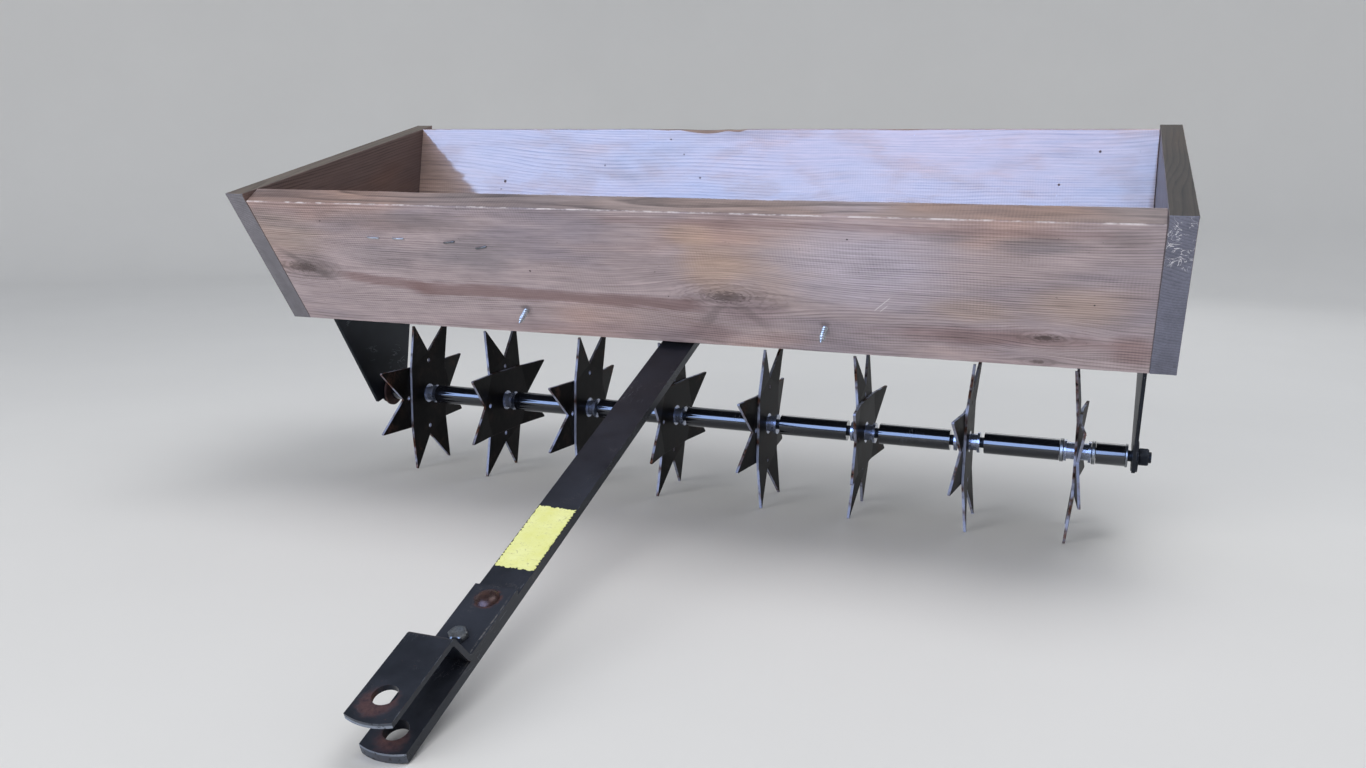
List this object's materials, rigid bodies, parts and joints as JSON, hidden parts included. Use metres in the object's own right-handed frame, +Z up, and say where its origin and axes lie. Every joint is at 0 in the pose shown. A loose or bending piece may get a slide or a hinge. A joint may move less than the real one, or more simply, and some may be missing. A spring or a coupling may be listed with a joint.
{
  "type": "tow-behind lawn aerator",
  "caption": "Tow-behind spike aerator: crossed four-pointed plate wheels on one axle under a steel tray, a boarded weight box above, and a long tongue with a clevis hitch.",
  "frame": {"origin": "on the ground, under the middle of the bounding box, the machine parked on its spike wheels and its hitch", "axes": "+X to the right seen from the hitch, along the axle; -Y the way it is pulled; +Z up"},
  "size_m": [1.05, 0.8928, 0.4766],
  "materials": {
    "weathered_wood": "weathered, damp, bare",
    "black_steel": "gloss black paint, worn",
    "wheel_steel": "black paint, rust at the edges",
    "rusty_steel": "rusted"
  },
  "bodies": {
    "frame": {"axle": "rusty_steel", "box_back_board": "weathered_wood", "box_front_board": "weathered_wood", "box_left_board": "weathered_wood", "box_right_board": "weathered_wood", "hitch_strap": "black_steel", "left_end_plate": "black_steel", "right_end_plate": "black_steel", "spacers": "black_steel", "tongue": "black_steel", "tray": "black_steel"},
    "wheel_1": {"wheel_1": "wheel_steel"},
    "wheel_2": {"wheel_2": "wheel_steel"},
    "wheel_3": {"wheel_3": "wheel_steel"},
    "wheel_4": {"wheel_4": "wheel_steel"},
    "wheel_5": {"wheel_5": "wheel_steel"},
    "wheel_6": {"wheel_6": "wheel_steel"},
    "wheel_7": {"wheel_7": "wheel_steel"},
    "wheel_8": {"wheel_8": "wheel_steel"}
  },
  "joints": [
    {"name": "wheel_1_spin", "type": "hinge", "parent": "frame", "child": "wheel_1", "pos_m": [-0.4375, 0.31821, 0.10034], "axis": [1, 0, 0], "continuous": true},
    {"name": "wheel_2_spin", "type": "hinge", "parent": "frame", "child": "wheel_2", "pos_m": [-0.3125, 0.31821, 0.10034], "axis": [1, 0, 0], "continuous": true},
    {"name": "wheel_3_spin", "type": "hinge", "parent": "frame", "child": "wheel_3", "pos_m": [-0.1875, 0.31821, 0.10034], "axis": [1, 0, 0], "continuous": true},
    {"name": "wheel_4_spin", "type": "hinge", "parent": "frame", "child": "wheel_4", "pos_m": [-0.0625, 0.31821, 0.10034], "axis": [1, 0, 0], "continuous": true},
    {"name": "wheel_5_spin", "type": "hinge", "parent": "frame", "child": "wheel_5", "pos_m": [0.0625, 0.31821, 0.10034], "axis": [1, 0, 0], "continuous": true},
    {"name": "wheel_6_spin", "type": "hinge", "parent": "frame", "child": "wheel_6", "pos_m": [0.1875, 0.31821, 0.10034], "axis": [1, 0, 0], "continuous": true},
    {"name": "wheel_7_spin", "type": "hinge", "parent": "frame", "child": "wheel_7", "pos_m": [0.3125, 0.31821, 0.10034], "axis": [1, 0, 0], "continuous": true},
    {"name": "wheel_8_spin", "type": "hinge", "parent": "frame", "child": "wheel_8", "pos_m": [0.4375, 0.31821, 0.10034], "axis": [1, 0, 0], "continuous": true}
  ]
}
